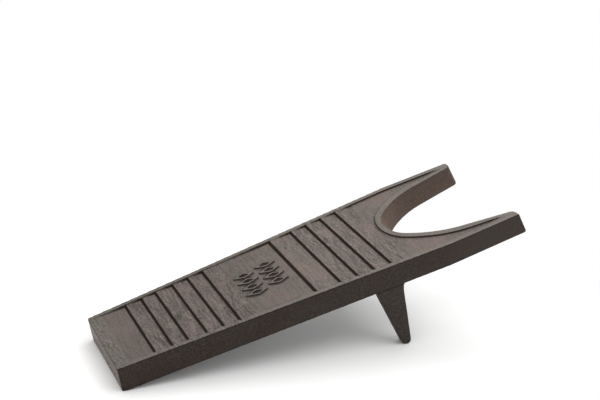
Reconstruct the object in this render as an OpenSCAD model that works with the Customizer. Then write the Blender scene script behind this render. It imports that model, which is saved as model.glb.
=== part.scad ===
// Cast iron boot jack: a sloping stepped deck with a U-shaped mouth for the heel,
// standing on its low end and on two bolted legs.
// The deck is drawn flat, with x from the low end to the fork, y across and z up from the rim,
// and is then tilted until the low end and both soles rest on the floor.

/* [Deck] */
// Width across the low end
nose_w = 54.8; // [46:0.1:64]
// Width across the fork arms
fork_w = 84.2; // [80:0.1:96]
// How far past the bottom of the mouth the sides go on widening
widen_past = 25; // [10:1:40]
// Depth of the deck from the rim to the lower edge of the skirt
skirt_h = 19; // [17:0.5:26]
// Thickness of the skirt wall
skirt_t = 4; // [3.5:0.1:5]
// Thickness of the wall at the low end
nose_t = 5; // [4:0.1:8]
// Thinnest part of the deck plate, under the gutter of a step
plate_t = 5; // [3.5:0.1:5.5]
// Width of the raised rim along both sides
rim_w = 3.3; // [2.5:0.1:3.4]
// Rounding of the corners at the low end, seen from above
nose_corner_r = 0.9; // [0.5:0.1:6]
// Rounding of the upper edge at the low end
nose_edge_r = 0.7; // [0.4:0.1:3]
// Height trimmed off the lower edge at the low end to make a narrow resting face
nose_trim = 0.8; // [0.4:0.1:2]

/* [Grip slabs] */
// Height of each step, from the sunken end of one slab to the crest of the next
step_h = 1.3; // [0.8:0.1:3]
// How far the crests lie below the rim
crest_drop = 0.15; // [0.1:0.05:0.4]
// Width of the narrow gutter along the foot of each step
gutter_w = 1.1; // [0.6:0.1:2]
// Depth of the gutter below the slab that runs down to it
gutter_h = 0.75; // [0.3:0.05:1.5]
// Flat land at the low end, before the first slab starts to sink
nose_land = 6; // [4:0.5:14]
// Distance from the low end to the first step
nose_slab = 25.2; // [20:0.1:32]
// Number of steps near the low end
low_steps = 6; // [3:1:7]
// Spacing of the steps near the low end
low_pitch = 11.2; // [9:0.1:14]
// How far the third step sits back from the even spacing
third_back = 1.1; // [0:0.1:2]
// Length of the plain panel in the middle
panel_len = 52.6; // [46:0.1:70]
// Length of the slab between the panel and the upper steps
blank_slab = 18; // [14:0.1:26]
// Number of steps near the mouth
high_steps = 4; // [3:1:5]
// Spacing of the steps near the mouth
high_pitch = 12.6; // [10:0.1:15]
// Length of the last slab, from the highest step to the lip of the mouth
last_slab = 14.9; // [12:0.1:22]

/* [Grip studs on the panel] */
// Number of lozenge studs in each of the two rows
stud_count = 4; // [2:1:4]
// Length of a stud, along the deck
stud_len = 16.5; // [8:0.5:18]
// Width of a stud, across the deck
stud_w = 5.7; // [4:0.1:6]
// Width of the raised line that outlines a stud
stud_line = 1.2; // [0.8:0.1:1.2]
// Height of the studs above the panel
stud_h = 1.1; // [0.6:0.1:1.8]
// Gap between neighbouring studs
stud_gap = 0.9; // [0.6:0.1:2]
// Place of the middle of the studs, as a share of the length of the panel
stud_place = 0.55; // [0.45:0.01:0.6]

/* [Mouth and fork] */
// Depth of the mouth, from its bottom to the tips, along the rim
mouth_len = 84.8; // [76:0.1:100]
// Radius at the bottom of the mouth
mouth_r = 17.4; // [14:0.1:20]
// Radius of the flanks of the mouth
flank_r = 85; // [70:1:100]
// Flare of the mouth where the bottom arc meets the flank arc, from the long axis
mouth_turn = 36.3; // [32:0.1:42]
// Flare of the straight part of the flanks, from the long axis
mouth_flare = 9.6; // [7:0.1:10]
// Width of the lip round the bottom of the mouth
lip_w = 4.4; // [3.5:0.1:5]
// Flare of the outer edge of the lip along the arms, from the long axis
lip_flare = 5.8; // [4:0.1:6.5]
// How far the mouth wall and the tips lean outwards from the rim to the lower edge
rake = 8.6; // [4:0.1:12]
// Rounding of the inner corners of the tips, seen from above
tip_inner_r = 5; // [1:0.1:5.2]
// Flat left at the end of each tip, between its two rounded corners
tip_flat = 0.4; // [0.2:0.1:1.5]
// Rounding of the upper edge of the tips
tip_top_r = 2.4; // [1:0.1:4]
// Rounding of the lower edge of the tips
tip_foot_r = 1.4; // [1:0.1:4]
// Distance from the bottom of the mouth over which the channel in the arms keeps its depth
channel_flat = 64; // [35:1:68]
// Distance from the bottom of the mouth at which the channel in the arms runs out
channel_end = 80; // [70:1:82]
// Distance from the bottom of the mouth at which the hollow under the arms ends
hollow_end = 46; // [35:1:55]

/* [Ribs under the deck] */
// Thickness of the cross ribs
rib_t = 4; // [3:0.1:6]
// Depth of the cross ribs below the plate
rib_h = 7; // [4:0.5:9]

/* [Legs] */
// Distance from the bottom of the mouth back to the middle of the leg root
leg_set = 22.1; // [20:0.1:32]
// Length of the leg root along the deck
leg_root_len = 21; // [17:0.1:24]
// Length of the leg, from the skirt to the centre of its rounded foot
leg_len = 53.7; // [36:0.1:70]
// How far the foot stands towards the fork from the middle of the root
leg_lean = 12.9; // [10:0.1:18]
// Radius of the rounded foot
foot_r = 3.5; // [3.3:0.1:5]
// Radius of the hollow back of the leg
leg_back_r = 50; // [30:5:90]
// Fillet between the back of the leg and the skirt
leg_fillet_r = 1.5; // [1:0.1:3]
// Height cut off the rounded foot to make the flat sole
sole_cut = 0.5; // [0.3:0.1:1]
// Thickness of the leg at its root
leg_root_t = 7.4; // [7:0.1:10]
// Thickness of the leg at its foot
leg_foot_t = 6.4; // [5:0.1:8]
// How far the outer face of the leg leans in from the skirt at the foot
leg_inset = 0.6; // [0:0.1:2]
// Thickness of the bolting pad at the top of the leg
pad_t = 5; // [4:0.1:6]
// Length of the bolting pad along the deck
pad_len = 35; // [33:0.5:38]
// Width of the pad inwards from the leg
pad_w = 14.5; // [14:0.1:17]
// Gap between the leg and the inside of the skirt
leg_gap = 0.3; // [0.2:0.05:0.6]

/* [Screws] */
// Distance between the two screws of a leg
screw_pitch = 17; // [14:0.5:20]
// Distance of the screws from the inner face of the leg
screw_set = 7; // [6.5:0.1:8]
// Radius of the screw shank
screw_r = 2.95; // [2.4:0.05:3]
// Length of the screw below its head
screw_len = 12; // [12:0.5:13]
// Clearance of the screw in its tapped hole
thread_gap = 0.05; // [0.02:0.01:0.1]
// Clearance of the screw in the leg
hole_gap = 0.35; // [0.2:0.05:0.6]
// Hexagon head across its flats
head_flats = 10; // [8:0.5:10]
// Height of the hexagon head
head_h = 4; // [3:0.1:5]
// Thickness of the spring washer
washer_t = 1.5; // [1:0.1:2]
// Outer radius of the spring washer
washer_r = 5.6; // [5:0.1:5.8]
// Gap in the spring washer
washer_slit = 1.2; // [0.6:0.1:2]
// Height of the bosses under the plate
boss_h = 4; // [3.5:0.5:5]
// Radius of the bosses
boss_r = 6.5; // [5.5:0.1:7]

/* [Hidden] */
$fn = 48;

iron = [0.33, 0.30, 0.28];
leg_iron = [0.27, 0.25, 0.23];
steel = [0.22, 0.22, 0.23];

// Larger than the part, for cutters that run right through
beyond = 400;
// How far cutters and joined shapes run past a face
past = 1;
// How far rounded corners stand past the flat faces next to them, which trim them
trim = 0.1;
// Number of straight pieces in the round corners and in the arcs of the mouth
corner_steps = 5;
arc_steps = 10;

// Places along the deck, each from the one before
last_low = nose_slab + (low_steps - 1) * low_pitch;
panel_end = last_low + panel_len;
first_high = panel_end + blank_slab;
last_high = first_high + (high_steps - 1) * high_pitch;
lip_x = last_high + last_slab;
mouth_x = lip_x + lip_w;
tip_x = mouth_x + mouth_len;
deck_len = tip_x + rake;
widen_x = mouth_x + widen_past;
side_angle = atan((fork_w - nose_w) / 2 / widen_x);
rake_angle = atan(rake / skirt_h);

// Levels below the rim
plate_z = -(crest_drop + step_h + gutter_h + plate_t);
boss_z = plate_z - boss_h;
pad_z = boss_z - pad_t;
washer_z = pad_z - washer_t;
nose_h = skirt_h - nose_trim;

// Leg root and foot along the deck
leg_x = mouth_x - leg_set;
foot_x = leg_x + leg_lean;
foot_z = -(skirt_h + leg_len);

// Tilt at which the cut sole comes to the level of the resting face at the low end
foot_drop = -foot_z - nose_h;
tilt = atan(foot_drop / foot_x) + asin((foot_r - sole_cut) / norm([foot_x, foot_drop]));

// Reach of the tilted deck, to set the origin under the middle of its box
tip_foot_x = deck_len - tip_foot_r * (tan(rake_angle) + 1 / cos(rake_angle));
reach_low = -nose_h * sin(tilt);
reach_high = tip_foot_x * cos(tilt) - (nose_h - skirt_h + tip_foot_r) * sin(tilt) + tip_foot_r;
middle_x = (reach_low + reach_high) / 2;

function arc(centre, r, from, to, steps) =
    [for (i = [0:steps]) let (a = from + (to - from) * i / steps) centre + r * [cos(a), sin(a)]];

function mirrored(points) = concat(points, [for (i = [len(points) - 1:-1:0]) [points[i].x, -points[i].y]]);

// Half width of the deck at x
function half_w(x) = nose_w / 2 + min(x, widen_x) * tan(side_angle);

// One flank of the mouth from its bottom to end_x, as two arcs and a straight flare.
// grow moves it outwards into the iron, and flare is the angle of its straight end.
function flank(grow, flare, end_x) =
    let (
        c1 = [mouth_x + mouth_r, 0],
        turn = 90 + mouth_turn,
        c2 = c1 - (flank_r - mouth_r) * [cos(turn), sin(turn)],
        low = arc(c1, mouth_r + grow, 180, turn, arc_steps),
        high = arc(c2, flank_r + grow, turn, 90 + flare, arc_steps),
        last = high[len(high) - 1]
    )
    concat(low, [for (i = [1:len(high) - 1]) high[i]], [[end_x, last.y + (end_x - last.x) * tan(flare)]]);

// Tilts the flat-drawn jack onto the floor
module on_floor() {
    translate([-middle_x, 0, 0])
        rotate([0, -tilt, 0])
            translate([0, 0, nose_h])
                children();
}

// Extrudes an outline across the deck, drawn as x and z
module across(width) {
    rotate([90, 0, 0])
        linear_extrude(width, center = true)
            children();
}

// Cuts along the lean of the mouth wall: points are those of the outline at rim level
module raked(points) {
    rotate([0, -rake_angle, 0])
        linear_extrude(beyond, center = true)
            polygon([for (p = points) [p.x * cos(rake_angle), p.y]]);
}

// Side view of the deck, with its rounded ends and its resting face
module deck_side() {
    tip_top_x = tip_x + tip_top_r * (tan(rake_angle) - 1 / cos(rake_angle));
    polygon(concat(
        arc([nose_edge_r, -nose_edge_r], nose_edge_r, 180, 90, corner_steps),
        arc([tip_top_x, -tip_top_r], tip_top_r, 90, rake_angle, corner_steps),
        arc([tip_foot_x, tip_foot_r - skirt_h], tip_foot_r, rake_angle, -90, corner_steps),
        [[nose_trim / tan(tilt), -skirt_h], [0, -nose_h]]
    ));
}

// Outline of the tapered deck, running on past the tips
module deck_plan() {
    corner = [nose_corner_r - trim, nose_w / 2 - nose_corner_r];
    polygon(mirrored(concat(
        [[-trim, 0]],
        arc(corner, nose_corner_r, 180, 90 + side_angle, corner_steps),
        [[widen_x, fork_w / 2], [deck_len + rake, fork_w / 2]]
    )));
}

// All that is open at rim level: the mouth and the space round the rounded tips
function fork_opening() =
    let (
        end_x = tip_x + trim,
        straight = flank(0, mouth_flare, end_x),
        inner_x = end_x - tip_inner_r,
        side_y = straight[len(straight) - 1].y - tip_inner_r * tan(mouth_flare),
        inner = [inner_x, side_y + tip_inner_r / cos(mouth_flare)],
        side = fork_w / 2 + trim,
        outer_r = side - inner.y - tip_flat,
        outer = [end_x - outer_r, side - outer_r]
    )
    mirrored(concat(
        [for (i = [0:len(straight) - 2]) straight[i]],
        arc(inner, tip_inner_r, mouth_flare - 90, 0, corner_steps),
        arc(outer, outer_r, 0, 90, corner_steps),
        [[outer.x, fork_w], [deck_len + fork_w, fork_w]]
    ));

// The places of all steps, from the low end
steps = concat(
    [for (i = [0:low_steps - 1]) nose_slab + i * low_pitch - (i == 2 ? third_back : 0)],
    [panel_end],
    [for (i = [0:high_steps - 1]) first_high + i * high_pitch]
);

// Saw-tooth side view of the slabs: each sinks from its crest to the gutter of the next step
module slab_side() {
    foot = -crest_drop - step_h;
    gutter = foot - gutter_h;
    polygon(concat(
        [[nose_land, step_h], [nose_land, crest_drop]],
        [for (x = steps) each [[x - gutter_w, foot], [x - gutter_w, gutter], [x, gutter], [x, -crest_drop]]],
        [[lip_x, foot], [mouth_x + channel_flat, foot], [mouth_x + channel_end, crest_drop]],
        [[mouth_x + channel_end, step_h]]
    ));
}

// Sunken slabs, inside the rim and outside the lip of the mouth
module slabs() {
    difference() {
        intersection() {
            across(beyond)
                slab_side();
            linear_extrude(beyond, center = true)
                polygon(mirrored([
                    [nose_land, half_w(nose_land) - rim_w],
                    [widen_x, fork_w / 2 - rim_w],
                    [deck_len, fork_w / 2 - rim_w]
                ]));
        }
        linear_extrude(beyond, center = true)
            polygon(mirrored(flank(lip_w, lip_flare, deck_len)));
    }
}

// Hollow under the plate, between the skirt and the leaning mouth wall
module hollow() {
    difference() {
        translate([0, 0, plate_z - beyond])
            linear_extrude(beyond)
                polygon(mirrored([
                    [nose_t, half_w(nose_t) - skirt_t],
                    [widen_x, fork_w / 2 - skirt_t],
                    [mouth_x + hollow_end, fork_w / 2 - skirt_t]
                ]));
        raked(mirrored(flank(lip_w, mouth_flare, deck_len)));
        for (x = [last_low, panel_end])
            translate([x, -fork_w / 2, plate_z - rib_h])
                cube([rib_t, fork_w, rib_h + past]);
    }
}

// One outlined lozenge stud, rising from the panel
module stud() {
    lozenge = [[-stud_len / 2, 0], [0, stud_w / 2], [stud_len / 2, 0], [0, -stud_w / 2]];
    inner_share = 1 - 2 * stud_line * norm([stud_len, stud_w]) / (stud_len * stud_w);
    linear_extrude(stud_h + step_h)
        difference() {
            polygon(lozenge);
            polygon(lozenge * inner_share);
        }
}

// Two staggered rows of studs on the sloping panel
module studs() {
    pitch = stud_w + stud_gap;
    translate([last_low, 0, -crest_drop])
        rotate([0, atan(step_h / panel_len), 0])
            for (row = [-1, 1], i = [0:stud_count - 1])
                translate([
                    panel_len * stud_place + row * (stud_len + stud_gap) / 2,
                    (i - (stud_count - 1) / 2 + row / 4) * pitch,
                    -step_h
                ])
                    stud();
}

// Frame of one leg: x along the skirt, y = 0 on its outer face and negative inwards
module at_side(side) {
    mirror([0, side < 0 ? 1 : 0, 0])
        translate([0, nose_w / 2, 0])
            rotate([0, 0, side_angle])
                children();
}

// Places of the screws of one leg, in that leg's frame
module at_screws() {
    for (end = [-1, 1])
        translate([leg_x + end * screw_pitch / 2, -leg_root_t - screw_set, 0])
            children();
}

// The open-backed shell, with its slabs, rim, lip and arms
module shell() {
    difference() {
        intersection() {
            across(beyond)
                deck_side();
            linear_extrude(beyond, center = true)
                deck_plan();
        }
        raked(fork_opening());
        slabs();
        hollow();
    }
}

module deck() {
    color(iron)
        on_floor()
            difference() {
                union() {
                    shell();
                    studs();
                    for (side = [-1, 1])
                        at_side(side)
                            at_screws()
                                translate([0, 0, boss_z])
                                    cylinder(h = boss_h + past, r = boss_r);
                }
                for (side = [-1, 1])
                    at_side(side)
                        at_screws()
                            translate([0, 0, washer_z - past])
                                cylinder(h = screw_len + 2 * past, r = screw_r + thread_gap);
            }
}

// Side view of a leg and its pad. Below the skirt it has a straight front, a rounded foot,
// and a back that runs straight up from the foot, bends along an arc and ends in a fillet.
module leg_side() {
    root = leg_root_len / 2;
    front_run = [foot_x - leg_x + root, foot_z + skirt_h];
    front_turn = atan2(front_run.y, front_run.x) - asin(foot_r / norm(front_run));
    fillet = [leg_x + root + leg_fillet_r, -skirt_h - leg_fillet_r];
    bend = [leg_x + root + leg_back_r, fillet.y - leg_fillet_r];
    back_run = [foot_x, foot_z] - bend;
    back_turn = atan2(back_run.y, back_run.x) + asin((leg_back_r + foot_r) / norm(back_run));
    polygon(concat(
        [
            [leg_x - pad_len / 2, boss_z],
            [leg_x - pad_len / 2, pad_z],
            [leg_x - root, pad_z],
            [leg_x - root, -skirt_h]
        ],
        arc([foot_x, foot_z], foot_r, front_turn - 90, back_turn + 90, 2 * corner_steps),
        arc(bend, leg_back_r, back_turn - 90, -180, corner_steps),
        arc(fillet, leg_fillet_r, 180, 120, corner_steps - 1),
        [
            [fillet.x - leg_fillet_r / 2, -skirt_h],
            [leg_x + root, -skirt_h],
            [leg_x + root, pad_z],
            [leg_x + pad_len / 2, pad_z],
            [leg_x + pad_len / 2, boss_z]
        ]
    ));
}

// End view of a leg and its pad, drawn as inward distance and z. The leg is flush with the
// skirt below it, thinner towards the foot, and steps in behind the skirt wall above.
module leg_end() {
    wall = skirt_t / cos(side_angle) + leg_gap;
    inner = -leg_inset - leg_foot_t;
    below = foot_z - 2 * foot_r;
    polygon([
        [-wall, boss_z],
        [-wall, -skirt_h],
        [0, -skirt_h],
        [-leg_inset, foot_z],
        [-leg_inset, below],
        [inner, below],
        [inner, foot_z],
        [-leg_root_t, -skirt_h],
        [-leg_root_t, pad_z],
        [-leg_root_t - pad_w, pad_z],
        [-leg_root_t - pad_w, boss_z]
    ]);
}

module leg(side) {
    on_floor()
        at_side(side)
            difference() {
                intersection() {
                    across(beyond)
                        leg_side();
                    rotate([90, 0, 90])
                        linear_extrude(beyond)
                            leg_end();
                }
                at_screws()
                    translate([0, 0, pad_z - past])
                        cylinder(h = pad_t + 2 * past, r = screw_r + hole_gap);
            }
}

// Everything above the floor, to cut the soles flat
module above_floor() {
    translate([-beyond, -beyond / 2, 0])
        cube([2 * beyond, beyond, beyond]);
}

module left_leg() {
    color(leg_iron)
        intersection() {
            leg(1);
            above_floor();
        }
}

module right_leg() {
    color(leg_iron)
        intersection() {
            leg(-1);
            above_floor();
        }
}

module leg_screws() {
    color(steel)
        on_floor()
            for (side = [-1, 1])
                at_side(side)
                    at_screws() {
                        translate([0, 0, washer_z])
                            cylinder(h = screw_len, r = screw_r);
                        translate([0, 0, washer_z - head_h])
                            cylinder(h = head_h, r = head_flats / 2 / cos(30), $fn = 6);
                    }
}

module spring_washers() {
    color(steel)
        on_floor()
            for (side = [-1, 1])
                at_side(side)
                    at_screws()
                        translate([0, 0, washer_z])
                            difference() {
                                cylinder(h = washer_t, r = washer_r);
                                translate([0, 0, -past])
                                    cylinder(h = washer_t + 2 * past, r = screw_r + hole_gap / 2);
                                translate([0, -washer_slit / 2, -past])
                                    cube([washer_r + past, washer_slit, washer_t + 2 * past]);
                            }
}

deck();
left_leg();
right_leg();
leg_screws();
spring_washers();
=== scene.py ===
import math

import bmesh
import bpy
import numpy as np
from mathutils import Matrix


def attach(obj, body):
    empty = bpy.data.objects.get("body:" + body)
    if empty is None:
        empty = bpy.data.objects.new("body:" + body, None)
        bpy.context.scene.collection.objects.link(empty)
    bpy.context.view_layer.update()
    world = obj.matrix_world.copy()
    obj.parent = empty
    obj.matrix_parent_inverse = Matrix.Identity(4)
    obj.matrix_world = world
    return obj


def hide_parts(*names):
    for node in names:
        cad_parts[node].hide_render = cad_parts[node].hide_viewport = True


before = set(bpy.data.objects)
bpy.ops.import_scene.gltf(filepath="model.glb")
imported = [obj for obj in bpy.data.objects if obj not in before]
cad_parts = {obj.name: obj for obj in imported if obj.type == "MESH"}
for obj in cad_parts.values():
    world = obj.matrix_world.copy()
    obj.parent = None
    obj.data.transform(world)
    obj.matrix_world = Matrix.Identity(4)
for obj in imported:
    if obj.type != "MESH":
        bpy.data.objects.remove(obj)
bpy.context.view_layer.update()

MM = 0.001

# The deck is drawn flat, its rim NOSE_HEIGHT above the line on which its low end rests, and tilted
# about that line by SLOPE. The line lies MIDDLE from the middle of the jack.
SLOPE = math.radians(16.0952)
NOSE_HEIGHT = 18.2 * MM
MIDDLE = 142.277 * MM

# From the flat deck, x along it from the low end, y across and z up from its rim, to the floor.
DECK_TO_FLOOR = (
    Matrix.Translation((-MIDDLE, 0, 0))
    @ Matrix.Rotation(-SLOPE, 4, "Y")
    @ Matrix.Translation((0, 0, NOSE_HEIGHT))
)
FLOOR_TO_DECK = DECK_TO_FLOOR.inverted()

# The deck in millimetres: half its width at the low end, its gain per millimetre and its most, the
# width of the rim, and the width of the gutter at the foot of a step.
LOW_HALF_WIDTH = 27.4
WIDENING = 0.06285
MOST_HALF_WIDTH = 42.1
RIM_WIDTH = 3.3
GUTTER_WIDTH = 1.1

# Each step's riser in millimetres from the low end, and how much further from it the dark line
# lies than the middle of the gutter.
STEP_LINES = (
    (25.2, 0.2),
    (36.4, 0.2),
    (46.5, 0.2),
    (58.8, 0.2),
    (70.0, 0.2),
    (81.2, 0.2),
    (133.8, 0.5),
    (151.8, 0.2),
    (164.4, 0.2),
    (177.0, 0.2),
    (189.6, 0.2),
)


def add_object(name, data):
    """A new object in the scene."""
    made = bpy.data.objects.new(name, data)
    bpy.context.collection.objects.link(made)
    return made


# Camera: its place and how near and far it sees in metres, its turn in degrees

CAMERA_PLACE = (-0.31769, -0.42120, 0.34865)
CAMERA_TURN = (64.130, -9.861, -30.292)
LENS_MM = 53.288
SENSOR_MM = 36
NEAREST = 0.02
FARTHEST = 20


def make_camera():
    data = bpy.data.cameras.new("camera")
    data.lens = LENS_MM
    data.sensor_width = SENSOR_MM
    data.clip_start = NEAREST
    data.clip_end = FARTHEST
    camera = add_object("camera", data)
    camera.location = CAMERA_PLACE
    camera.rotation_euler = [math.radians(a) for a in CAMERA_TURN]
    bpy.context.scene.camera = camera


# Node trees

NUMBER = "NodeSocketFloat"
WHOLE_NUMBER = "NodeSocketInt"
VECTOR = "NodeSocketVector"
SHAPE = "NodeSocketGeometry"
MATERIAL = "NodeSocketMaterial"


class Tree:
    """A node tree with short calls for its nodes and links."""

    def __init__(self, tree):
        self.tree = tree

    def add(self, kind, settings=None, inputs=None):
        node = self.tree.nodes.new(kind)
        for name, value in (settings or {}).items():
            setattr(node, name, value)
        for name, value in (inputs or {}).items():
            self.feed(node.inputs[name], value)
        return node

    def feed(self, socket, value):
        if isinstance(value, bpy.types.NodeSocket):
            self.tree.links.new(value, socket)
        else:
            socket.default_value = value

    def use(self, group, inputs):
        """The outputs of a shader group with its inputs fed."""
        return self.add("ShaderNodeGroup", {"node_tree": group}, inputs).outputs

    def attribute(self, name):
        return self.add("ShaderNodeAttribute", {"attribute_name": name}).outputs["Fac"]

    def math(self, operation, *values, clamp=False):
        settings = {"operation": operation, "use_clamp": clamp}
        return self.add("ShaderNodeMath", settings, dict(enumerate(values))).outputs[0]

    def one_minus(self, value):
        return self.math("SUBTRACT", 1.0, value)

    def per(self, size):
        """How many of a size go into a metre."""
        return self.math("DIVIDE", 1.0, size)

    def around(self, middle, noise, swing):
        """The middle value moved by a noise from 0 to 1, by half the swing at most."""
        return self.math("MULTIPLY_ADD", self.math("SUBTRACT", noise, 0.5), swing, middle)

    def ramp(self, value, low, high):
        """0 at low and 1 at high, eased."""
        return self.add(
            "ShaderNodeMapRange",
            {"interpolation_type": "SMOOTHSTEP"},
            {"Value": value, "From Min": low, "From Max": high},
        ).outputs["Result"]

    def vector(self, x=0.0, y=0.0, z=0.0):
        return self.add("ShaderNodeCombineXYZ", inputs={"X": x, "Y": y, "Z": z}).outputs[0]

    def parts(self, vector):
        """The x, y and z of a vector."""
        return self.add("ShaderNodeSeparateXYZ", inputs={"Vector": vector}).outputs

    def vector_math(self, operation, *values):
        node = self.add("ShaderNodeVectorMath", {"operation": operation}, dict(enumerate(values)))
        return node.outputs["Value" if operation in ("DOT_PRODUCT", "LENGTH") else "Vector"]

    def scaled(self, vector, factor):
        inputs = {0: vector, "Scale": factor}
        return self.add("ShaderNodeVectorMath", {"operation": "SCALE"}, inputs).outputs["Vector"]

    def noise(self, place, scale, detail, roughness=0.5):
        return self.add(
            "ShaderNodeTexNoise",
            inputs={"Vector": place, "Scale": scale, "Detail": detail, "Roughness": roughness},
        ).outputs["Fac"]

    def red(self, colour):
        return self.add("ShaderNodeSeparateColor", inputs={"Color": colour}).outputs[0]

    def mix(self, share, first, second, blend="MIX"):
        """Two colours mixed. The node's socket names repeat, so its sockets go by number."""
        settings = {"data_type": "RGBA", "blend_type": blend}
        return self.add("ShaderNodeMix", settings, {0: share, 6: first, 7: second}).outputs[2]


def new_group(kind, name, inputs, outputs):
    """A node group, its tree, the sockets it is given and the sockets it has to feed."""
    group = bpy.data.node_groups.new(name, kind)
    for label, socket, value in inputs:
        made = group.interface.new_socket(label, in_out="INPUT", socket_type=socket)
        if value is not None:
            made.default_value = value
    for label, socket in outputs:
        group.interface.new_socket(label, in_out="OUTPUT", socket_type=socket)
    start = group.nodes.new("NodeGroupInput")
    end = group.nodes.new("NodeGroupOutput")
    return group, Tree(group), start.outputs, end.inputs


# Shader groups. Sizes are in metres, unless they say otherwise.

# A pit is at its full depth up to the first share of its cell and ends at the second.
PIT_EDGE = (0.08, 0.22)


def make_sand_grain():
    """Sand-cast skin: fine grain with small pits."""
    group, t, given, out = new_group(
        "ShaderNodeTree",
        "sand_grain",
        [
            ("Place", VECTOR, None),
            ("Grain Size", NUMBER, 0.0008),
            ("Pit Size", NUMBER, 0.004),
            ("Pit Share", NUMBER, 0.3),
        ],
        [("Height", NUMBER), ("Grain", NUMBER), ("Pits", NUMBER)],
    )
    place = given["Place"]
    grain = t.noise(place, t.per(given["Grain Size"]), detail=3.0, roughness=0.6)
    cells = t.add(
        "ShaderNodeTexVoronoi",
        inputs={"Vector": place, "Scale": t.per(given["Pit Size"]), "Randomness": 1.0},
    ).outputs
    chosen = t.math("LESS_THAN", t.red(cells["Color"]), given["Pit Share"])
    depth = t.one_minus(t.ramp(cells["Distance"], *PIT_EDGE))
    pits = t.math("MULTIPLY", chosen, depth)
    t.feed(out["Height"], t.math("SUBTRACT", grain, pits))
    t.feed(out["Grain"], grain)
    t.feed(out["Pits"], pits)
    return group


# How many of its widths a streak sways, how much finer a scratch is than a streak, where the noise
# makes a scratch, and in which patches scratches show.
STREAK_SWAY = 9.0
SCRATCH_FINENESS = (2.2, 1.6, 2.2)
SCRATCH_EDGE = (0.57, 0.68)
SCRATCHED_PATCHES = (0.40, 0.56)


def make_cast_streaks():
    """Faint streaks along Y, broad uneven patches, and thin broken scratches along the streaks."""
    group, t, given, out = new_group(
        "ShaderNodeTree",
        "cast_streaks",
        [
            ("Place", VECTOR, None),
            ("Streak Width", NUMBER, 0.002),
            ("Streak Length", NUMBER, 0.03),
            ("Patch Size", NUMBER, 0.02),
        ],
        [("Streaks", NUMBER), ("Patches", NUMBER), ("Scratches", NUMBER)],
    )
    patches = t.noise(given["Place"], t.per(given["Patch Size"]), detail=4.0, roughness=0.55)
    x, y, z = t.parts(given["Place"])
    sway = t.math("MULTIPLY", t.math("SUBTRACT", patches, 0.5), STREAK_SWAY)
    squeezed = t.vector(
        t.math("ADD", t.math("DIVIDE", x, given["Streak Width"]), sway),
        t.math("DIVIDE", y, given["Streak Length"]),
        t.math("DIVIDE", z, given["Streak Width"]),
    )
    thin = t.noise(t.vector_math("MULTIPLY", squeezed, SCRATCH_FINENESS), 1.0, detail=1.0)
    scratches = t.math("MULTIPLY", t.ramp(thin, *SCRATCH_EDGE), t.ramp(patches, *SCRATCHED_PATCHES))
    t.feed(out["Streaks"], t.noise(squeezed, 1.0, detail=3.0))
    t.feed(out["Patches"], patches)
    t.feed(out["Scratches"], scratches)
    return group


# How far the noise moves the edges of the masks, in parts of the relief.
EDGE_BREAKS = 0.5


def make_edge_masks():
    """Turns the relief of a surface into a broken mask of its edges and a mask of its hollows.

    The relief is above 0 on edges and below 0 in hollows.
    """
    group, t, given, out = new_group(
        "ShaderNodeTree",
        "edge_masks",
        [
            ("Place", VECTOR, None),
            ("Relief", NUMBER, 0.0),
            ("Edge Start", NUMBER, 0.1),
            ("Edge End", NUMBER, 0.5),
            ("Break Size", NUMBER, 0.003),
        ],
        [("Edges", NUMBER), ("Hollows", NUMBER)],
    )
    breaks = t.noise(given["Place"], t.per(given["Break Size"]), detail=3.0, roughness=0.6)
    broken = t.around(given["Relief"], breaks, EDGE_BREAKS)
    sunk = t.math("MULTIPLY", given["Relief"], -1.0)
    t.feed(out["Edges"], t.ramp(broken, given["Edge Start"], given["Edge End"]))
    t.feed(out["Hollows"], t.ramp(sunk, given["Edge Start"], given["Edge End"]))
    return group


# How quickly the lines waver, per metre, and in millimetres: half of a line's soft edge, a start
# that is further off than any riser, how far the rim's line wavers, and where that line fades.
WAVER_SCALE = 260.0
LINE_BLUR = 0.25
FAR_OFF = 1000.0
RIM_LINE_WAVER = 0.8
RIM_LINE_EDGE = (0.3, 0.9)


def make_step_lines():
    """Dark unevenly edged lines of patina and painted shade at the foot of each step and of the rim,
    in millimetres.
    """
    group, t, given, out = new_group(
        "ShaderNodeTree",
        "step_lines",
        [
            ("Place", VECTOR, None),
            ("Along", NUMBER, 0.0),
            ("Inside Rim", NUMBER, 0.0),
            ("Line Width", NUMBER, 1.5),
            ("Unevenness", NUMBER, 0.5),
        ],
        [("Lines", NUMBER), ("Rim Foot", NUMBER)],
    )
    waver = t.noise(given["Place"], WAVER_SCALE, detail=2.0)
    along = t.around(given["Along"], waver, given["Unevenness"])
    nearest = FAR_OFF
    for riser, shift in STEP_LINES:
        off_line = t.math("SUBTRACT", along, riser - GUTTER_WIDTH / 2 + shift)
        nearest = t.math("MINIMUM", t.math("ABSOLUTE", off_line), nearest)
    half_line = t.math("MULTIPLY", given["Line Width"], 0.5)
    inner = t.math("SUBTRACT", half_line, LINE_BLUR)
    outer = t.math("ADD", half_line, LINE_BLUR)
    t.feed(out["Lines"], t.one_minus(t.ramp(nearest, inner, outer)))
    off_rim = t.math("ABSOLUTE", t.around(given["Inside Rim"], waver, RIM_LINE_WAVER))
    t.feed(out["Rim Foot"], t.one_minus(t.ramp(off_rim, *RIM_LINE_EDGE)))
    return group


SAND_GRAIN = make_sand_grain()
CAST_STREAKS = make_cast_streaks()
EDGE_MASKS = make_edge_masks()
STEP_LINE_GROUP = make_step_lines()


# Materials

# BROWN and LEG_BROWN are the brown paint darkened by painted shade, for the upright faces; TOP_GREY
# is dust with a painted sheen, for what faces up.
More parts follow.
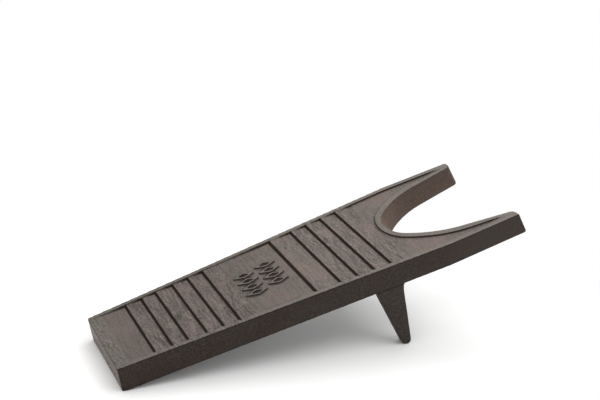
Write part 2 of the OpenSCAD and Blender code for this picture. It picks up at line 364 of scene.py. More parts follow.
BROWN = (0.028, 0.020, 0.0155, 1)
LEG_BROWN = (0.033, 0.0258, 0.0222, 1)
TOP_GREY = (0.157, 0.131, 0.117, 1)
# Paler grey of the worn rims, also used for a painted highlight on the top edges and, tinted, for the
# worn face of the low end with a painted sheen.
RIM_GREY = (0.182, 0.168, 0.149, 1)
# The lighter warm brown of the wall inside the mouth, beside sides that carry painted shade.
MOUTH_WALL_BROWN = (0.105, 0.067, 0.0485, 1)
# Near black for pits, for shade in the hollows, and for painted shade along the edges of the sides
# and of the low end.
DEEP = (0.014, 0.009, 0.007, 1)
# Brown-black of patina and painted shade, for the gutters, the walls in shade and the dark lines at
# the feet of the steps and the rim.
GUTTER_PATINA_AND_SHADE = (0.026, 0.0165, 0.0125, 1)
FLECK = (0.20, 0.115, 0.075, 1)
BLACK_STEEL = (0.05, 0.05, 0.052, 1)
BARE_STEEL = (0.35, 0.34, 0.33, 1)
SPRING_STEEL = (0.07, 0.068, 0.066, 1)
BARE_SPRING = (0.30, 0.30, 0.29, 1)

# Red, green and blue by which a colour changes from one patch to the next, and in scratches.
SIDE_TINTS = ((1.12, 0.94, 0.87), (0.97, 0.965, 0.91))
END_TINTS = ((0.70, 0.61, 0.59), (0.80, 0.73, 0.70))
TOP_TINTS = ((1.03, 0.985, 0.98), (0.955, 1.0, 0.975))
STEEL_TINTS = ((1, 1, 1), (1.5, 1.5, 1.5))
SCRATCH_TINT = (1.6, 1.5, 1.45)

# Where the noise of the patches and of the grain turns from one look to the next.
IRON_PATCHES = (0.40, 0.60)
STREAKED_PATCHES = (0.35, 0.65)
STEEL_PATCHES = (0.3, 0.7)
FLECK_EDGE = (0.62, 0.72)

# How strongly each mark covers what is under it, from 0 to 1. Coarseness multiplies the scratches.
COVER = {
    "end edges": 0.85,
    "rim": 0.6,
    "top edges": 0.5,
    "flecks": 0.6,
    "scratches": 0.26,
    "pits": 0.7,
    "hollows": 0.85,
    "steel edges": 0.7,
}

# How much the light of the colours changes: a middle and a swing for the patches on top, and a
# start and a gain for the streaks, the speckles on the sides and those everywhere.
SIDE_PATCH_SWING = 1.4
TOP_PATCH_LIGHT = (1.02, -0.3)
STREAK_DEPTH = (0.5, 0.3)
SIDE_SPECKLES = (1.7, -1.4)
SPECKLES = (0.4, 0.7)
DARKEST_SPECKLE = 0.3

# The dark line of patina and painted shade at the foot of the rim starts between the first two places
# along the deck, in millimetres, and fades between the other two, from its first strength by the
# second.
RIM_LINE_START = (3.0, 9.0)
RIM_LINE_FADE = (60.0, 204.0)
RIM_LINE_STRENGTH = (0.85, -0.8)
LINE_SHAPE = {"Line Width": 1.4, "Unevenness": 0.6}

# Sizes of the patterns, in metres.
IRON_PATTERNS = {
    "grain": {"Grain Size": 0.0012, "Pit Size": 0.0045, "Pit Share": 0.09},
    "streaks": {"Streak Width": 0.0014, "Streak Length": 0.013, "Patch Size": 0.030},
    "edges": {"Edge Start": 0.2, "Edge End": 1.0, "Break Size": 0.004},
}
STEEL_PATTERNS = {
    "grain": {"Grain Size": 0.0003, "Pit Size": 0.002, "Pit Share": 0.1},
    "streaks": {"Streak Width": 0.0003, "Streak Length": 0.004, "Patch Size": 0.004},
    "edges": {"Edge Start": 0.2, "Edge End": 0.8, "Break Size": 0.0012},
}
IRON_GRAIN_DEPTH = 0.00018
STEEL_GRAIN_DEPTH = 0.00004

# Roughness and shine: of the deck, the legs and the steel, what patches, hollows and streaks add,
# and how much a scratch sinks into the grain.
DECK_ROUGHNESS = 0.50
LEG_ROUGHNESS = 0.55
STEEL_ROUGHNESS = 0.32
ROUGHER_PATCHES = 0.25
ROUGHER_HOLLOWS = 0.2
ROUGHER_STREAKS = 0.2
IRON_SHINE = 0.2
STEEL_METAL = 0.8
STEEL_BUMP = 0.6
SCRATCH_SINK = -0.6

# Pairs of a place in millimetres from the low end and a value there: how light the top is, how light
# the sides and the mouth wall are, how dark the painted shade on the sides' edges is, and how coarse
# the marks on the slabs are.
TOP_LIGHTNESS = ((0, 0.83), (95, 0.83), (140, 1.0), (302, 1.0))
SIDE_LIGHT = ((0, 1.06), (60, 0.96), (120, 1.0), (205, 1.04), (250, 1.14), (302, 1.22))
MOUTH_LIGHT = ((206, 1.45), (214, 1.4), (235, 1.02), (302, 1.0))
EDGE_SHADE = ((0, 0.7), (174, 0.7), (178, 0.1), (206, 0.1), (210, 0.7), (302, 0.7))
COARSENESS = (
    (0, 2.6),
    (7, 2.6),
    (8.5, 0.9),
    (24.5, 0.9),
    (26, 2.5),
    (90, 2.5),
    (98, 1.1),
    (132, 1.1),
    (136, 1.5),
    (150, 1.5),
    (152, 2.4),
    (202, 2.3),
    (210, 1.0),
    (302, 1.0),
)

# The colour ramp that holds such pairs goes from 0 to 1, so these are its ends.
RAMP_LENGTH = 310.0
RAMP_MOST = 3.0


def new_material(name):
    material = bpy.data.materials.new(name)
    material.use_nodes = True
    tree = material.node_tree
    tree.nodes.clear()
    return material, Tree(tree)


def tint(colour, red, green, blue):
    return (colour[0] * red, colour[1] * green, colour[2] * blue, 1)


def patched(t, patches, colour, tints):
    """The colour in two tints that take turns from patch to patch."""
    return t.mix(patches, tint(colour, *tints[0]), tint(colour, *tints[1]))


def coat(t, under, colour, mask, strength):
    """The colour laid over another one where the mask says so."""
    return t.mix(t.math("MULTIPLY", mask, strength), under, colour)


def lit(t, colour, light):
    """The colour made lighter or darker by a number."""
    grey = t.add("ShaderNodeCombineColor", inputs={0: light, 1: light, 2: light}).outputs[0]
    return t.mix(1.0, colour, grey, "MULTIPLY")


def along_deck(t, along, points):
    """The value at a place along the deck, straight between the given points."""
    node = t.add("ShaderNodeValToRGB", inputs={"Fac": t.math("DIVIDE", along, RAMP_LENGTH)})
    stops = node.color_ramp.elements
    while len(stops) < len(points):
        stops.new(0.5)
    for stop, (place, _) in zip(stops, points):
        stop.position = place / RAMP_LENGTH
    for stop, (_, value) in zip(stops, points):
        grey = value / RAMP_MOST
        stop.color = (grey, grey, grey, 1)
    return t.math("MULTIPLY", t.red(node.outputs[0]), RAMP_MOST)


def metal_patterns(t, place, streak_place, sizes):
    """The grain, the streaks, and the edge and hollow masks of a metal surface."""
    relief = t.attribute("relief")
    grain = t.use(SAND_GRAIN, {"Place": place, **sizes["grain"]})
    streaks = t.use(CAST_STREAKS, {"Place": streak_place, **sizes["streaks"]})
    edges = t.use(EDGE_MASKS, {"Place": place, "Relief": relief, **sizes["edges"]})
    return grain, streaks, edges


class IronSurface:
    """What the colours of a casting follow: places on it, marks on its faces and patterns."""

    def __init__(self, t):
        self.place = t.add("ShaderNodeTexCoord").outputs["Object"]
        turn_flat = {"Rotation": (0, SLOPE, 0), "Location": FLOOR_TO_DECK.to_translation()}
        level = t.add("ShaderNodeMapping", inputs={"Vector": self.place, **turn_flat}).outputs[0]
        x, y, _ = t.parts(level)
        self.along = t.math("DIVIDE", x, MM)
        rim_line = t.math("MULTIPLY_ADD", self.along, WIDENING, LOW_HALF_WIDTH - RIM_WIDTH)
        self.inside_rim = t.math("SUBTRACT", rim_line, t.math("DIVIDE", y, MM))
        self.upward = t.attribute("upward")
        self.sideways = t.one_minus(self.upward)
        self.mouth_wall_mark = t.attribute("mouth_wall_mark")
        patterns = metal_patterns(t, self.place, level, IRON_PATTERNS)
        self.grain, self.streaks, self.edges = patterns
        self.patches = self.streaks["Patches"]
        self.turns = t.ramp(self.patches, *IRON_PATCHES)
        self.coarse = along_deck(t, self.along, COARSENESS)


def side_colour(t, iron, brown):
    """Brown sides darkened by painted shade, with more painted shade along their edges, and the
    lighter mouth wall.
    """
    light = t.around(along_deck(t, iron.along, SIDE_LIGHT), iron.patches, SIDE_PATCH_SWING)
    side = lit(t, patched(t, iron.turns, brown, SIDE_TINTS), light)
    mouth = lit(t, MOUTH_WALL_BROWN, along_deck(t, iron.along, MOUTH_LIGHT))
    side_edges = t.math("MULTIPLY", iron.sideways, iron.edges["Edges"])
    edge_shade = along_deck(t, iron.along, EDGE_SHADE)
    shade = t.math("SUBTRACT", edge_shade, iron.mouth_wall_mark, clamp=True)
    return coat(t, t.mix(iron.mouth_wall_mark, side, mouth), DEEP, side_edges, shade)


def end_colour(t, iron):
    """The pale upright face of the low end, worn and with a painted sheen, with painted shade along
    its edges.
    """
    face = patched(t, iron.turns, RIM_GREY, END_TINTS)
    return coat(t, face, DEEP, iron.edges["Edges"], COVER["end edges"])


def top_colour(t, iron):
    """Dusty grey with a painted sheen and streaks across, paler on the rim, paler worn edges with a
    painted highlight, with rusty flecks.
    """
    least, gain = STREAK_DEPTH
    depth = t.math("MULTIPLY_ADD", t.ramp(iron.patches, *STREAKED_PATCHES), gain, least)
    depth = t.math("MULTIPLY", depth, iron.coarse)
    middle, swing = TOP_PATCH_LIGHT
    light = t.around(t.around(middle, iron.patches, swing), iron.streaks["Streaks"], depth)
    flecks = t.ramp(iron.grain["Grain"], *FLECK_EDGE)
    top = lit(t, patched(t, iron.turns, TOP_GREY, TOP_TINTS), light)
    top = coat(t, top, RIM_GREY, t.attribute("rim"), COVER["rim"])
    # Worn edges on top made paler, which also paints a highlight along them.
    top = coat(t, top, RIM_GREY, iron.edges["Edges"], COVER["top edges"])
    top = coat(t, top, FLECK, flecks, COVER["flecks"])
    return lit(t, top, along_deck(t, iron.along, TOP_LIGHTNESS))


def with_marks(t, iron, colour, brown):
    """The colour with speckles, scratches, pits and shade in the hollows."""
    most, mouth_wall_loss = SIDE_SPECKLES
    rough_side = t.math("MULTIPLY_ADD", iron.mouth_wall_mark, mouth_wall_loss, most)
    least, gain = SPECKLES
    depth = t.math(
        "ADD",
        t.math("MULTIPLY", iron.sideways, rough_side),
        t.math("MULTIPLY_ADD", iron.coarse, gain, least),
    )
    speckles = t.around(1.0, iron.grain["Grain"], depth)
    colour = lit(t, colour, t.math("MAXIMUM", speckles, DARKEST_SPECKLE))
    scratches = t.math("MULTIPLY", iron.streaks["Scratches"], iron.upward)
    scratch_depth = t.math("MULTIPLY", iron.coarse, COVER["scratches"])
    colour = coat(t, colour, tint(brown, *SCRATCH_TINT), scratches, scratch_depth)
    colour = coat(t, colour, DEEP, iron.grain["Pits"], COVER["pits"])
    hollows = t.math("MULTIPLY", iron.edges["Hollows"], t.attribute("sheltered"))
    return coat(t, colour, DEEP, hollows, COVER["hollows"])


def with_gutters(t, iron, colour):
    """The colour with brown-black gutters of patina and painted shade, painted shade on risers and
    walls, and such dark lines at the feet of the steps and the rim.
    """
    # Patina and painted shade in the gutters, and painted shade on risers, stud sides, rim walls,
    # channels and the lip's foot.
    colour = t.mix(t.attribute("gutter"), colour, GUTTER_PATINA_AND_SHADE)
    lines = t.use(
        STEP_LINE_GROUP,
        {"Place": iron.place, "Along": iron.along, "Inside Rim": iron.inside_rim, **LINE_SHAPE},
    )
    colour = coat(t, colour, GUTTER_PATINA_AND_SHADE, lines["Lines"], t.attribute("slabs"))
    rim_line = t.math("MULTIPLY", lines["Rim Foot"], t.ramp(iron.along, *RIM_LINE_START))
    rim_line = t.math("MULTIPLY", rim_line, iron.upward)
    strength, loss = RIM_LINE_STRENGTH
    fade = t.math("MULTIPLY_ADD", t.ramp(iron.along, *RIM_LINE_FADE), loss, strength)
    return coat(t, colour, GUTTER_PATINA_AND_SHADE, rim_line, fade)


def finish_surface(t, height, bump, surface):
    """Ends a material with its bumps and its surface."""
    bumps = t.add("ShaderNodeBump", inputs={"Height": height, **bump}).outputs["Normal"]
    shader = t.add("ShaderNodeBsdfPrincipled", inputs={"Normal": bumps, **surface})
    t.add("ShaderNodeOutputMaterial", inputs={"Surface": shader.outputs[0]})


def make_cast_iron(name, brown, roughness):
    """Brown antique finish on sand-cast iron, with painted shade on upright faces and dust with a
    painted sheen on top.
    """
    material, t = new_material(name)
    iron = IronSurface(t)
    upright = t.mix(t.attribute("low_end"), side_colour(t, iron, brown), end_colour(t, iron))
    # Painted shade on the upright faces, dust with a painted sheen on what faces up.
    colour = t.mix(iron.upward, upright, top_colour(t, iron))
    colour = with_gutters(t, iron, with_marks(t, iron, colour, brown))
    rough = t.around(roughness, iron.patches, ROUGHER_PATCHES)
    rough = t.math("MULTIPLY_ADD", iron.edges["Hollows"], ROUGHER_HOLLOWS, rough, clamp=True)
    height = t.math("MULTIPLY_ADD", iron.streaks["Scratches"], SCRATCH_SINK, iron.grain["Height"])
    finish_surface(
        t,
        height,
        {"Strength": 1.0, "Distance": IRON_GRAIN_DEPTH},
        {"Base Color": colour, "Roughness": rough, "Specular IOR Level": IRON_SHINE},
    )
    return material


def make_dark_steel(name, colour, bare):
    """Blackened steel, rubbed bright on its corners."""
    material, t = new_material(name)
    place = t.add("ShaderNodeTexCoord").outputs["Object"]
    grain, streaks, edges = metal_patterns(t, place, place, STEEL_PATTERNS)
    base = patched(t, t.ramp(streaks["Patches"], *STEEL_PATCHES), colour, STEEL_TINTS)
    finish_surface(
        t,
        grain["Height"],
        {"Strength": STEEL_BUMP, "Distance": STEEL_GRAIN_DEPTH},
        {
            "Base Color": coat(t, base, bare, edges["Edges"], COVER["steel edges"]),
            "Roughness": t.math("MULTIPLY_ADD", streaks["Streaks"], ROUGHER_STREAKS, STEEL_ROUGHNESS),
            "Metallic": STEEL_METAL,
        },
    )
    return material


DECK_IRON = make_cast_iron("deck_iron", BROWN, DECK_ROUGHNESS)
LEG_IRON = make_cast_iron("leg_iron", LEG_BROWN, LEG_ROUGHNESS)
SCREW_STEEL = make_dark_steel("screw_steel", BLACK_STEEL, BARE_STEEL)
WASHER_STEEL = make_dark_steel("washer_steel", SPRING_STEEL, BARE_SPRING)


# Castings

# In metres: how close loose corners are joined, how close the mesh of a casting is, and the relief
# that counts as 1, after so many rounds of smoothing. The waves of the skin are sunk by a part of
# their depth, so that none stands out from the solid.
JOIN_DISTANCE = 0.002 * MM
CLOSE_MESH = 0.4 * MM
RELIEF_DEPTH = 0.3 * MM
RELIEF_ROUNDS = 24
WAVE_SINK = 0.85
FLAT_WEIGHT = 80

# Places on the flat deck in millimetres: along it from the low end, in from its sides, and up from
# the top of its rim. Over MOUTH_FADE the lighter wall of the mouth would fade out.
LOW_END_DEPTH = 1.5
SLABS_START = 8
SLABS_END = 204
PANEL_START = 86
PANEL_END = 130
LIP_START = 200
MOUTH_START = 206
MOUTH_FADE = 300
INSIDE_RIM = 2.6
INSIDE_ARM = 3.6
INSIDE_LIP = 6
INSIDE_PANEL = 8
RIM_TOP = -0.11
UNDER_RIM = -0.2
GUTTER_LEVEL = -1.62
CHANNEL_FLOOR = -2.5
SLAB_FLOOR = -4
TOP_FLOOR = -6

# Parts of a face's normal. The top colour, dust with a painted sheen, starts at the first number of
# its pair and is full one spread, the second number, further. The rest are limits for steep faces,
# risers, the faces inside the mouth and the face of the low end.
DUST_AND_SHEEN = (0.6, 0.25)
DUST_AND_SHEEN_IN_MOUTH = (0.72, 0.26)
STEEP = 0.7
STEEP_ON_STUD = 0.8
RISER = -0.5
LIP_RISER = -0.25
LOW_END_FACE = -0.6
INWARD = 0.3
SLIGHTLY_INWARD = 0.1

# How strongly each kind of face is marked.
# Gutter floors and risers are darkened with patina and painted shade; the sides of the studs, the
# lip's foot, the rim walls and the channels with painted shade.
GUTTER_MARK = 0.95
STUD_SHADOW_MARK = 0.9
LIP_FOOT_SHADE_MARK = 0.9
RIM_WALL_SHADE_MARK = 0.4
CHANNEL_SHADE_MARK = 0.1
SLAB_MARK = 0.95
LIP_MARK = 0.6
OPEN_MARK = 0.3


def merged_copy(node, name):
    """A piece with the CAD node's shape, its triangles joined, turned so that the deck lies flat."""
    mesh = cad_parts[node].data.copy()
    mesh.name = name
    shape = bmesh.new()
    shape.from_mesh(mesh)
    bmesh.ops.remove_doubles(shape, verts=shape.verts, dist=JOIN_DISTANCE)
    shape.to_mesh(mesh)
    shape.free()
    mesh.transform(FLOOR_TO_DECK)
    return add_object(name, mesh)


def with_material(t, shape, material):
    """The end of a tree: instances made real, with their material."""
    real = t.add("GeometryNodeRealizeInstances", inputs={"Geometry": shape}).outputs[0]
    inputs = {"Geometry": real, "Material": material}
    return t.add("GeometryNodeSetMaterial", inputs=inputs).outputs[0]


def make_cast_skin():
    """Softens the corners of a close mesh, stores its relief and adds the waves of a sand mould."""
    group, t, given, out = new_group(
        "GeometryNodeTree",
        "cast_skin",
        [
            ("Geometry", SHAPE, None),
            ("Soft Rounds", WHOLE_NUMBER, 3),
            ("Relief Rounds", WHOLE_NUMBER, 20),
            ("Relief Depth", NUMBER, 0.0003),
            ("Wave Size", NUMBER, 0.007),
            ("Wave Depth", NUMBER, 0.0001),
            ("Material", MATERIAL, None),
        ],
        [("Geometry", SHAPE)],
    )
    place = t.add("GeometryNodeInputPosition").outputs[0]
    normal = t.add("GeometryNodeInputNormal").outputs[0]

    def smoothed(rounds):
        return t.add(
            "GeometryNodeBlurAttribute",
            {"data_type": "FLOAT_VECTOR"},
            {"Value": place, "Iterations": rounds},
        ).outputs["Value"]

    softened = t.add(
        "GeometryNodeSetPosition",
        inputs={"Geometry": given["Geometry"], "Position": smoothed(given["Soft Rounds"])},
    ).outputs[0]
    off_smooth = t.vector_math("SUBTRACT", place, smoothed(given["Relief Rounds"]))
    stands_out = t.vector_math("DOT_PRODUCT", normal, off_smooth)
    relief = t.math("DIVIDE", stands_out, given["Relief Depth"])
    stored = t.add(
        "GeometryNodeStoreNamedAttribute",
        {"data_type": "FLOAT", "domain": "POINT"},
        {"Geometry": softened, "Name": "relief", "Value": relief},
    ).outputs[0]
    waves = t.noise(place, t.per(given["Wave Size"]), detail=2.0)
    lift = t.math("MULTIPLY", t.math("SUBTRACT", waves, WAVE_SINK), given["Wave Depth"])
    waved = t.add(
        "GeometryNodeSetPosition",
        inputs={"Geometry": stored, "Offset": t.scaled(normal, lift)},
    ).outputs[0]
    shaded = t.add("GeometryNodeSetShadeSmooth", inputs={"Geometry": waved}).outputs[0]
    t.feed(out["Geometry"], with_material(t, shaded, given["Material"]))
    return group


CAST_SKIN = make_cast_skin()


def add_tree(piece, group, values):
    """A geometry nodes modifier with its inputs set by their identifiers."""
    modifier = piece.modifiers.new(group.name, "NODES")
    modifier.node_group = group
    sockets = {s.name: s.identifier for s in group.interface.items_tree if s.in_out == "INPUT"}
    for name, value in values.items():
        modifier[sockets[name]] = value


def bake_shape(piece):
    """Turns the piece with its modifiers into a plain mesh."""
    bpy.context.view_layer.update()
    graph = bpy.context.evaluated_depsgraph_get()
    mesh = bpy.data.meshes.new_from_object(piece.evaluated_get(graph), depsgraph=graph)
    piece.modifiers.clear()
    old = piece.data
    piece.data = mesh
    mesh.name = piece.name
    bpy.data.meshes.remove(old)


def half_width(x):
    """Half the width of the deck at a distance from its low end, in millimetres."""
    return np.minimum(LOW_HALF_WIDTH + WIDENING * x, MOST_HALF_WIDTH)


def mark_faces(mesh):
    """Marks the faces of the flat-lying casting for its colours: dust with a painted sheen, the mouth
    wall, and patina and painted shade.
    """
    count = len(mesh.polygons)
    centers = np.empty(count * 3, np.float32)
    normals = np.empty(count * 3, np.float32)
    mesh.polygons.foreach_get("center", centers)
    mesh.polygons.foreach_get("normal", normals)
    x, y, z = centers.reshape(-1, 3).T / MM
    nx, ny, nz = normals.reshape(-1, 3).T
    margin = half_width(x) - abs(y)
    inward = np.maximum(nx, -np.sign(y) * ny)
    steep = (nz < STEEP) & (z < UNDER_RIM)

    in_mouth = (x > MOUTH_START) & (margin > INSIDE_ARM)
    mouth_wall = in_mouth & (inward > INWARD)
    flatness = np.where(
        in_mouth & (inward > SLIGHTLY_INWARD),
        (nz - DUST_AND_SHEEN_IN_MOUTH[0]) / DUST_AND_SHEEN_IN_MOUTH[1],
        (nz - DUST_AND_SHEEN[0]) / DUST_AND_SHEEN[1],
    )
    upward = np.clip(flatness, 0, 1) * (z > TOP_FLOOR)
    low_end = (nx < LOW_END_FACE) & (x < LOW_END_DEPTH)

    inside_rim = margin > INSIDE_RIM
    slabs = (x > SLABS_START) & (x < SLABS_END) & inside_rim & (z > SLAB_FLOOR)
    # Gutter floors take patina and painted shade; risers, stud sides, rim walls, channels and the
    # lip's foot take painted shade.
    gutter = slabs & ((z < GUTTER_LEVEL) | (steep & (nx < RISER)))
    on_panel = (x > PANEL_START) & (x < PANEL_END) & (margin > INSIDE_PANEL)
    stud_side = on_panel & (nz < STEEP_ON_STUD)
    rim_wall = slabs & steep & ~gutter & ~stud_side

    lip = (x > LIP_START) & (margin > INSIDE_LIP)
    channel = (x >= SLABS_END) & (z > CHANNEL_FLOOR) & steep & inside_rim
    lip_foot = channel & (nx < LIP_RISER)

    marks = {
        "upward": upward,
        "rim": upward * (z > RIM_TOP) * np.where(lip, LIP_MARK, 1.0),
        "mouth_wall_mark": mouth_wall * np.clip(1 - (x - MOUTH_START) / MOUTH_FADE, 0, 1),
        "low_end": low_end * 1.0,
        "gutter": gutter * GUTTER_MARK
        + stud_side * STUD_SHADOW_MARK
        + rim_wall * RIM_WALL_SHADE_MARK
        + channel * CHANNEL_SHADE_MARK
        + lip_foot * LIP_FOOT_SHADE_MARK,
        "slabs": slabs * SLAB_MARK,
        "sheltered": np.where((x < SLABS_END) | (nz < 0), 1.0, OPEN_MARK),
    }
    for name, value in marks.items():
        mark = mesh.attributes.new(name, "FLOAT", "FACE")
        mark.data.foreach_set("value", value.astype(np.float32))


def cast(node, name, material, soft_rounds, keep=1):
    """The casting that stands for a CAD node, keeping a share of its close mesh's faces."""
    piece = merged_copy(node, name)
    remesh = piece.modifiers.new("even", "REMESH")
    remesh.mode = "VOXEL"
    remesh.voxel_size = CLOSE_MESH
    remesh.use_smooth_shade = True
    add_tree(
        piece,
        CAST_SKIN,
        {
            "Soft Rounds": soft_rounds,
            "Relief Rounds": RELIEF_ROUNDS,
            "Relief Depth": RELIEF_DEPTH,
            "Material": material,
        },
    )
    if keep < 1:
        piece.modifiers.new("fewer", "DECIMATE").ratio = keep
    piece.modifiers.new("flat", "WEIGHTED_NORMAL").weight = FLAT_WEIGHT
    bake_shape(piece)
    mark_faces(piece.data)
    piece.data.transform(DECK_TO_FLOOR)
    return piece


# Screws and washers, in metres on the flat deck

FIRST_SCREW = (178.853 * MM, 24.212 * MM)
SCREW_PITCH = 17 * MM
SCREWS_PER_SIDE = 2
SIDE_ANGLE = math.radians(3.59616)
WASHER_FOOT = -17.7 * MM
WASHER_THICK = 1.5 * MM
WASHER_RADIUS = 5.6 * MM
WASHER_BORE = 3.125 * MM
WASHER_SLIT = 1.2 * MM
WASHER_BEVEL = 0.18 * MM
WASHER_STEPS = 44
HEAD_FLATS = 10 * MM
HEAD_HEIGHT = 4 * MM
HEAD_STEPS = 48
SHANK_RADIUS = 2.95 * MM
SHANK_LENGTH = 12 * MM

# The corners of a head are turned down at an angle, from the radius of its round top face on. The
# top face and the seat end in fine bevels.
TURNED_RADIUS = 0.47 * HEAD_FLATS
TURNED_ANGLE = math.radians(30)
TOP_FACE_SHARE = 0.97
TOP_FACE_BEVEL = 0.03 * MM
CORNER_BEVEL = 0.08 * MM
SEAT_BEVEL = 0.15 * MM

# The relief that wear goes by, for each ring of a head and for a washer's ends and body.
HEAD_RELIEF = (0.2, 0.9, 0.9, 0.4, 0.4, 0, 0)
WASHER_END_RELIEF = 0.5
WASHER_RELIEF = 0.25

SHARP_ANGLE = math.radians(28)


def make_screw_row():
    """Sets a small piece out in a row along each side of the deck."""
    group, t, given, out = new_group(
        "GeometryNodeTree",
        "screw_row",
        [
            ("Geometry", SHAPE, None),
            ("Count", WHOLE_NUMBER, 2),
            ("First", VECTOR, None),
            ("Pitch", NUMBER, 0.017),
            ("Side Angle", NUMBER, 0.0),
            ("Material", MATERIAL, None),
        ],
        [("Geometry", SHAPE)],
    )
    sides = t.add("GeometryNodeJoinGeometry")
    for side in (1.0, -1.0):
        turn = t.math("MULTIPLY", given["Side Angle"], side)
        step = t.vector(
            t.math("MULTIPLY", given["Pitch"], t.math("COSINE", turn)),
            t.math("MULTIPLY", given["Pitch"], t.math("SINE", turn)),
        )
        start = t.vector_math("MULTIPLY", given["First"], (1.0, side, 1.0))
        row = t.add(
            "GeometryNodeMeshLine",
            {"mode": "OFFSET"},
            {"Count": given["Count"], "Start Location": start, "Offset": step},
        ).outputs[0]
        placed = t.add(
            "GeometryNodeInstanceOnPoints",
            inputs={"Points": row, "Instance": given["Geometry"], "Rotation": t.vector(z=turn)},
        ).outputs[0]
        t.feed(sides.inputs[0], placed)
    t.feed(out["Geometry"], with_material(t, sides.outputs[0], given["Material"]))
    return group


SCREW_ROW_TREE = make_screw_row()


def hex_radius(angle, flats):
    """Distance from the middle of a hexagon to its outline."""
    third = math.pi / 3
    return flats / 2 / math.cos((angle % third) - third / 2)


def rings_to_mesh(name, rings, relief):
    """A closed mesh from rings of points, the first and last filled, that stores their relief."""
    shape = bmesh.new()
    layer = shape.verts.layers.float.new("relief")
    rows = []
    for ring, value in zip(rings, relief):
        row = [shape.verts.new(p) for p in ring]
        for vertex in row:
            vertex[layer] = value
        rows.append(row)
    count = len(rows[0])
    for below, above in zip(rows, rows[1:]):
        for i in range(count):
            j = (i + 1) % count
            shape.faces.new((below[i], below[j], above[j], above[i]))
    shape.faces.new(list(reversed(rows[0])))
    shape.faces.new(rows[-1])
    bmesh.ops.recalc_face_normals(shape, faces=shape.faces)
    mesh = bpy.data.meshes.new(name)
    shape.to_mesh(mesh)
    shape.free()
    return add_object(name, mesh)


def screw_template():
    """A hexagon head with turned corners on a plain shank, its seat at zero height, head down."""
    angles = [2 * math.pi * i / HEAD_STEPS for i in range(HEAD_STEPS)]

    def ring(radius, height):
        return [(radius(a) * math.cos(a), radius(a) * math.sin(a), height(a)) for a in angles]

    def outline(a):
        return hex_radius(a, HEAD_FLATS)

    def corner(a):
        drop = max(0, outline(a) - TURNED_RADIUS) * math.tan(TURNED_ANGLE)
        return -HEAD_HEIGHT + CORNER_BEVEL + drop

    rings = [
        ring(lambda a: TURNED_RADIUS * TOP_FACE_SHARE, lambda a: -HEAD_HEIGHT),
        ring(lambda a: TURNED_RADIUS, lambda a: -HEAD_HEIGHT + TOP_FACE_BEVEL),
        ring(outline, corner),
        ring(outline, lambda a: -SEAT_BEVEL),
        ring(lambda a: outline(a) - SEAT_BEVEL, lambda a: 0),
        ring(lambda a: SHANK_RADIUS, lambda a: 0),
        ring(lambda a: SHANK_RADIUS, lambda a: SHANK_LENGTH),
    ]
    return rings_to_mesh("screws", rings, HEAD_RELIEF)


def washer_template():
    """A flat split ring with broken corners, its foot at zero height."""
    half_gap = math.asin(WASHER_SLIT / 2 / WASHER_RADIUS)
    profile = [
        (WASHER_BORE, WASHER_BEVEL),
        (WASHER_BORE + WASHER_BEVEL, 0),
        (WASHER_RADIUS - WASHER_BEVEL, 0),
        (WASHER_RADIUS, WASHER_BEVEL),
        (WASHER_RADIUS, WASHER_THICK - WASHER_BEVEL),
        (WASHER_RADIUS - WASHER_BEVEL, WASHER_THICK),
        (WASHER_BORE + WASHER_BEVEL, WASHER_THICK),
        (WASHER_BORE, WASHER_THICK - WASHER_BEVEL),
    ]
    rings = []
    for i in range(WASHER_STEPS + 1):
        a = half_gap + (2 * math.pi - 2 * half_gap) * i / WASHER_STEPS
        rings.append([(r * math.cos(a), r * math.sin(a), z) for r, z in profile])
    body = [WASHER_RELIEF] * (WASHER_STEPS - 1)
    return rings_to_mesh("washers", rings, [WASHER_END_RELIEF, *body, WASHER_END_RELIEF])


def set_out(piece, material):
    """Repeats a template at the four screw places, at the height of the washers' feet."""
    add_tree(
        piece,
        SCREW_ROW_TREE,
        {
            "Count": SCREWS_PER_SIDE,
            "First": (*FIRST_SCREW, WASHER_FOOT),
            "Pitch": SCREW_PITCH,
            "Side Angle": SIDE_ANGLE,
            "Material": material,
        },
    )
    bake_shape(piece)
    piece.data.transform(DECK_TO_FLOOR)
    piece.data.shade_smooth()
    piece.data.set_sharp_from_angle(angle=SHARP_ANGLE)
    return piece


# Floor and light

# The floor lies just under the soles, so that they don't share a plane.
FLOOR_SIZE = 5
FLOOR_PLACE = (0, 0, -0.02 * MM)
PAPER = (0.92, 0.92, 0.915, 1)
PAPER_SEEN = (1.08, 1.08, 1.075, 1)
WHITE = (1, 1, 1, 1)

# The floor fades to white between two distances from a middle, stretched across the jack.
FADE_MIDDLE = (0.0, -0.01, 0.0)
FADE_SHAPE = (1.0, 1.9, 1.0)
FADE_REACH = (0.17, 0.30)

# The walls of the light tent: the axis and the side on which each one stands, and its brightness.
# A wall starts to glow at a share of its direction and is at its full strength one spread further.
TENT_WALLS = ((0, -1.0, 1.23), (0, 1.0, 0.95), (1, 1.0, 0.20), (1, -1.0, 0.05))
TENT_START = 0.1
TENT_SPREAD = 0.7

LAMP_PLACE = (0.0, 0.0, 1.3)
LAMP_SIZE = 1.5
LAMP_POWER = 12.8


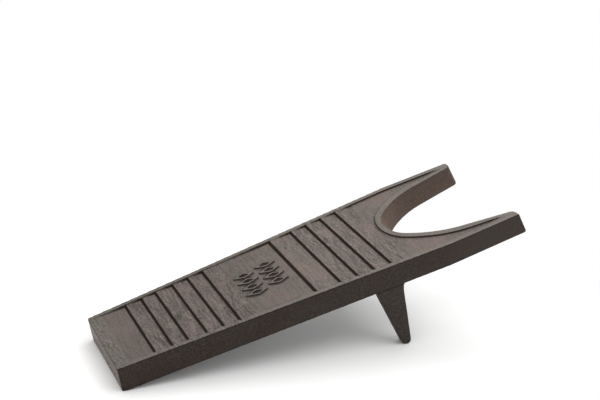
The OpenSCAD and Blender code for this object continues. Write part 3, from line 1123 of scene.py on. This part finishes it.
def make_floor():
    """A pale floor that keeps the soft shadow near the jack and fades to white away from it."""
    shape = bmesh.new()
    bmesh.ops.create_grid(shape, x_segments=8, y_segments=8, size=FLOOR_SIZE)
    mesh = bpy.data.meshes.new("floor")
    shape.to_mesh(mesh)
    shape.free()
    floor = add_object("floor", mesh)
    floor.location = FLOOR_PLACE
    material, t = new_material("pale_floor")
    place = t.add("ShaderNodeTexCoord").outputs["Object"]
    off_middle = t.vector_math("SUBTRACT", place, FADE_MIDDLE)
    away = t.vector_math("LENGTH", t.vector_math("MULTIPLY", off_middle, FADE_SHAPE))
    seen = t.add("ShaderNodeLightPath").outputs["Is Camera Ray"]
    paper = t.add("ShaderNodeBsdfDiffuse", inputs={"Color": t.mix(seen, PAPER, PAPER_SEEN)})
    white = t.add("ShaderNodeEmission", inputs={"Color": WHITE, "Strength": 1.0})
    fade = t.math("MULTIPLY", t.ramp(away, *FADE_REACH), seen)
    both = t.add(
        "ShaderNodeMixShader",
        inputs={"Fac": fade, 1: paper.outputs[0], 2: white.outputs[0]},
    )
    t.add("ShaderNodeOutputMaterial", inputs={"Surface": both.outputs[0]})
    mesh.materials.append(material)


def make_world():
    """A light tent, bright at the ends of the jack and dim along its sides, under an open top."""
    world = bpy.data.worlds.new("studio")
    world.use_nodes = True
    t = Tree(world.node_tree)
    world.node_tree.nodes.clear()
    towards = t.parts(t.add("ShaderNodeTexCoord").outputs["Generated"])
    start = -TENT_START / TENT_SPREAD
    glow = 0.0
    for axis, side, brightness in TENT_WALLS:
        share = t.math("MULTIPLY_ADD", towards[axis], side / TENT_SPREAD, start, clamp=True)
        glow = t.math("MULTIPLY_ADD", share, brightness, glow)
    seen = t.add("ShaderNodeLightPath").outputs["Is Camera Ray"]
    strength = t.math("MAXIMUM", glow, seen)
    back = t.add("ShaderNodeBackground", inputs={"Color": WHITE, "Strength": strength})
    t.add("ShaderNodeOutputWorld", inputs={"Surface": back.outputs[0]})
    bpy.context.scene.world = world


def make_lamp():
    """A round softbox that shines straight down."""
    data = bpy.data.lights.new("top_softbox", "AREA")
    data.shape = "DISK"
    data.size = LAMP_SIZE
    data.energy = LAMP_POWER
    add_object("top_softbox", data).location = LAMP_PLACE


# Assembly

make_camera()

deck = cast("deck", "deck_casting", DECK_IRON, soft_rounds=2, keep=0.22)
left_leg = cast("left_leg", "left_leg_casting", LEG_IRON, soft_rounds=4)
right_leg = cast("right_leg", "right_leg_casting", LEG_IRON, soft_rounds=4)
screws = set_out(screw_template(), SCREW_STEEL)
washers = set_out(washer_template(), WASHER_STEEL)

for piece, node, slot in (
    (deck, "deck", "deck_iron"),
    (left_leg, "left_leg", "leg_iron"),
    (right_leg, "right_leg", "leg_iron"),
    (screws, "leg_screws", "screw_steel"),
    (washers, "spring_washers", "washer_steel"),
):
    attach(piece, "root")
    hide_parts(node)

make_floor()
make_world()
make_lamp()

bpy.context.scene.view_settings.view_transform = "Standard"
